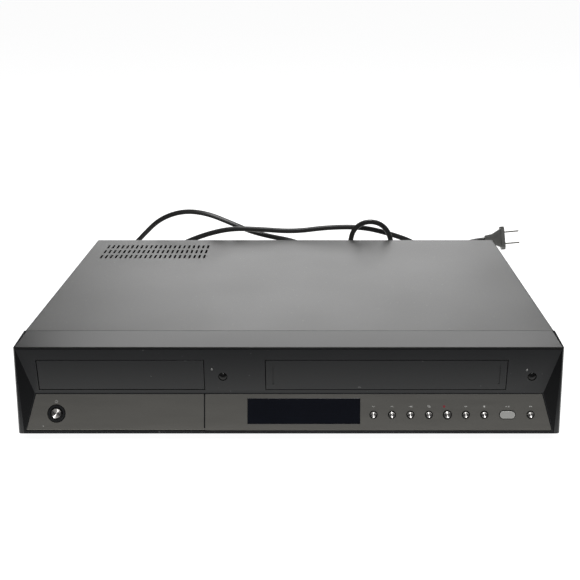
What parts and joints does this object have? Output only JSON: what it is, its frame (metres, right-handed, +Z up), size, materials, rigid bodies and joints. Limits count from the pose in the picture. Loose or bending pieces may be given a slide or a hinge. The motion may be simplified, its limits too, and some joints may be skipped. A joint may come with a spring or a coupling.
{
  "type": "dvd vcr combo player",
  "caption": "Low wide disc and cassette player: slanted hollow front, sliding disc tray, cassette flap, push buttons, fold-down socket flap, vented cover and mains lead.",
  "frame": {"origin": "on the floor under the middle of the player's outline, without the mains lead", "axes": "+X to the player's right as seen from the front, +Y to the back, +Z up; the front looks along -Y"},
  "size_m": [0.4635, 0.3684, 0.1066],
  "materials": {
    "black_plastic": "fine satin grain",
    "black_metal": "black textured paint",
    "bare_steel": "zinc-plated sheet",
    "polished_steel": "ground and polished",
    "rubber_foot": "matt",
    "black_screw": "black zinc",
    "smoked_window": "polished dark window",
    "display_glass": "glass tube",
    "circuit_board": "printed board",
    "jack_plastic": "moulded",
    "socket_metal": "tinned sheet",
    "dark_resin": "moulded",
    "pale_resin": "moulded acetal",
    "drum_metal": "turned",
    "black_rubber": "ground rubber",
    "transformer_tape": "wound tape",
    "capacitor_sleeve": "shrunk sleeve",
    "cord_rubber": "satin",
    "dark_button": "spun face",
    "silver_button": "satin silver"
  },
  "bodies": {
    "player": {"base_chassis": "bare_steel", "feet": "rubber_foot", "top_cover": "black_metal", "front_bezel": "black_plastic", "front_top_trim": "black_plastic", "control_panel": "black_plastic", "display_window": "smoked_window", "display_tube": "display_glass", "front_control_board": "circuit_board", "upper_switch_boards": "circuit_board", "front_av_jacks": "jack_plastic", "tray_motor": "bare_steel", "loader_frame": "dark_resin", "sled_rails": "polished_steel", "spindle_motor": "bare_steel", "clamp_bridge": "bare_steel", "deck_plate": "bare_steel", "tape_guides": "polished_steel", "tape_heads": "polished_steel", "drum_base": "drum_metal", "power_supply_board": "circuit_board", "transformer": "transformer_tape", "capacitors": "capacitor_sleeve", "heat_sink": "drum_metal", "main_board": "circuit_board", "tuner": "socket_metal", "rear_av_jacks": "jack_plastic", "digital_sockets": "socket_metal", "rear_panel": "black_metal", "case_screws": "black_screw", "power_cord": "cord_rubber", "cord_bushing": "cord_rubber", "power_plug": "cord_rubber"},
    "disc_tray": {"disc_tray": "dark_resin", "disc_tray_door": "black_plastic"},
    "tray_pinion": {"tray_pinion": "pale_resin"},
    "spindle_turntable": {"spindle_turntable": "pale_resin"},
    "laser_sled": {"laser_sled": "dark_resin"},
    "disc_clamp": {"disc_clamp": "pale_resin"},
    "cassette_door": {"cassette_door": "black_plastic"},
    "cassette_holder": {"cassette_holder": "bare_steel"},
    "supply_reel": {"supply_reel": "pale_resin"},
    "takeup_reel": {"takeup_reel": "pale_resin"},
    "drum_rotor": {"drum_rotor": "drum_metal"},
    "capstan": {"capstan": "polished_steel"},
    "pinch_arm": {"pinch_arm": "bare_steel"},
    "pinch_roller": {"pinch_roller": "black_rubber"},
    "av_flap": {"av_flap": "black_plastic"},
    "channel_down_button": {"channel_down_button": "dark_button"},
    "channel_up_button": {"channel_up_button": "dark_button"},
    "source_button": {"source_button": "dark_button"},
    "copy_button": {"copy_button": "dark_button"},
    "record_button": {"record_button": "dark_button"},
    "rewind_button": {"rewind_button": "dark_button"},
    "stop_button": {"stop_button": "dark_button"},
    "forward_button": {"forward_button": "dark_button"},
    "play_button": {"play_button": "silver_button"},
    "power_button": {"power_button": "dark_button"},
    "open_close_button": {"open_close_button": "dark_button"},
    "eject_button": {"eject_button": "dark_button"}
  },
  "joints": [
    {"name": "disc_tray_slide", "type": "slide", "parent": "player", "child": "disc_tray", "axis": [0, -1, 0], "range_m": [0, 0.135]},
    {"name": "tray_pinion_turn", "type": "hinge", "parent": "player", "child": "tray_pinion", "pos_m": [-0.17225, -0.125, 0.049], "axis": [0, 0, 1], "range_deg": [0, 780]},
    {"name": "turntable_spin", "type": "hinge", "parent": "player", "child": "spindle_turntable", "pos_m": [-0.13225, -0.084, 0.052], "axis": [0, 0, 1], "continuous": true},
    {"name": "laser_sled_slide", "type": "slide", "parent": "player", "child": "laser_sled", "axis": [0, 1, 0], "range_m": [0, 0.03]},
    {"name": "disc_clamp_spin", "type": "hinge", "parent": "player", "child": "disc_clamp", "pos_m": [-0.13225, -0.084, 0.064], "axis": [0, 0, 1], "continuous": true},
    {"name": "cassette_door_hinge", "type": "hinge", "parent": "player", "child": "cassette_door", "pos_m": [0.0766, -0.15059, 0.07232], "axis": [1, 0, 0], "range_deg": [0, 88], "stiffness_Nm_per_rad": 0.004, "springref_deg": -34.38},
    {"name": "cassette_holder_slide", "type": "slide", "parent": "player", "child": "cassette_holder", "axis": [0, 0, -1], "range_m": [0, 0.015], "stiffness_N_per_m": 60, "springref_m": -0.02},
    {"name": "supply_reel_spin", "type": "hinge", "parent": "player", "child": "supply_reel", "pos_m": [0.0306, -0.064, 0.032], "axis": [0, 0, 1], "continuous": true},
    {"name": "takeup_reel_spin", "type": "hinge", "parent": "player", "child": "takeup_reel", "pos_m": [0.1226, -0.064, 0.032], "axis": [0, 0, 1], "continuous": true},
    {"name": "head_drum_spin", "type": "hinge", "parent": "player", "child": "drum_rotor", "pos_m": [0.0726, 0.02066, 0.04314], "axis": [0, -0.0958, 0.9954], "continuous": true},
    {"name": "capstan_spin", "type": "hinge", "parent": "player", "child": "capstan", "pos_m": [0.1176, -0.008, 0.03], "axis": [0, 0, 1], "continuous": true},
    {"name": "pinch_arm_swing", "type": "hinge", "parent": "player", "child": "pinch_arm", "pos_m": [0.1396, 0.006, 0.036], "axis": [0, 0, 1], "range_deg": [0, 28], "stiffness_Nm_per_rad": 0.02, "springref_deg": -17.19},
    {"name": "pinch_roller_spin", "type": "hinge", "parent": "pinch_arm", "child": "pinch_roller", "pos_m": [0.12013, 0.01059, 0.044], "axis": [0, 0, 1], "continuous": true},
    {"name": "av_flap_hinge", "type": "hinge", "parent": "player", "child": "av_flap", "pos_m": [-0.13765, -0.16012, 0.01195], "axis": [1, 0, 0], "range_deg": [0, 100]},
    {"name": "channel_down_button_press", "type": "slide", "parent": "player", "child": "channel_down_button", "axis": [0, 0.9488, -0.3158], "range_m": [0, 0.0008], "stiffness_N_per_m": 800, "springref_m": -0.0005},
    {"name": "channel_up_button_press", "type": "slide", "parent": "player", "child": "channel_up_button", "axis": [0, 0.9488, -0.3158], "range_m": [0, 0.0008], "stiffness_N_per_m": 800, "springref_m": -0.0005},
    {"name": "source_button_press", "type": "slide", "parent": "player", "child": "source_button", "axis": [0, 0.9488, -0.3158], "range_m": [0, 0.0008], "stiffness_N_per_m": 800, "springref_m": -0.0005},
    {"name": "copy_button_press", "type": "slide", "parent": "player", "child": "copy_button", "axis": [0, 0.9488, -0.3158], "range_m": [0, 0.0008], "stiffness_N_per_m": 800, "springref_m": -0.0005},
    {"name": "record_button_press", "type": "slide", "parent": "player", "child": "record_button", "axis": [0, 0.9488, -0.3158], "range_m": [0, 0.0008], "stiffness_N_per_m": 800, "springref_m": -0.0005},
    {"name": "rewind_button_press", "type": "slide", "parent": "player", "child": "rewind_button", "axis": [0, 0.9488, -0.3158], "range_m": [0, 0.0008], "stiffness_N_per_m": 800, "springref_m": -0.0005},
    {"name": "stop_button_press", "type": "slide", "parent": "player", "child": "stop_button", "axis": [0, 0.9488, -0.3158], "range_m": [0, 0.0008], "stiffness_N_per_m": 800, "springref_m": -0.0005},
    {"name": "forward_button_press", "type": "slide", "parent": "player", "child": "forward_button", "axis": [0, 0.9488, -0.3158], "range_m": [0, 0.0008], "stiffness_N_per_m": 800, "springref_m": -0.0005},
    {"name": "play_button_press", "type": "slide", "parent": "player", "child": "play_button", "axis": [0, 0.9488, -0.3158], "range_m": [0, 0.0008], "stiffness_N_per_m": 800, "springref_m": -0.0005},
    {"name": "power_button_press", "type": "slide", "parent": "player", "child": "power_button", "axis": [0, 0.9488, -0.3158], "range_m": [0, 0.0008], "stiffness_N_per_m": 800, "springref_m": -0.0005},
    {"name": "open_close_button_press", "type": "slide", "parent": "player", "child": "open_close_button", "axis": [0, 0.9965, 0.0837], "range_m": [0, 0.0008], "stiffness_N_per_m": 800, "springref_m": -0.0005},
    {"name": "eject_button_press", "type": "slide", "parent": "player", "child": "eject_button", "axis": [0, 0.9965, 0.0837], "range_m": [0, 0.0008], "stiffness_N_per_m": 800, "springref_m": -0.0005}
  ],
  "couplings": [
    {"joint": "tray_pinion_turn", "follows": "disc_tray_slide", "rad_per_m": 100}
  ]
}
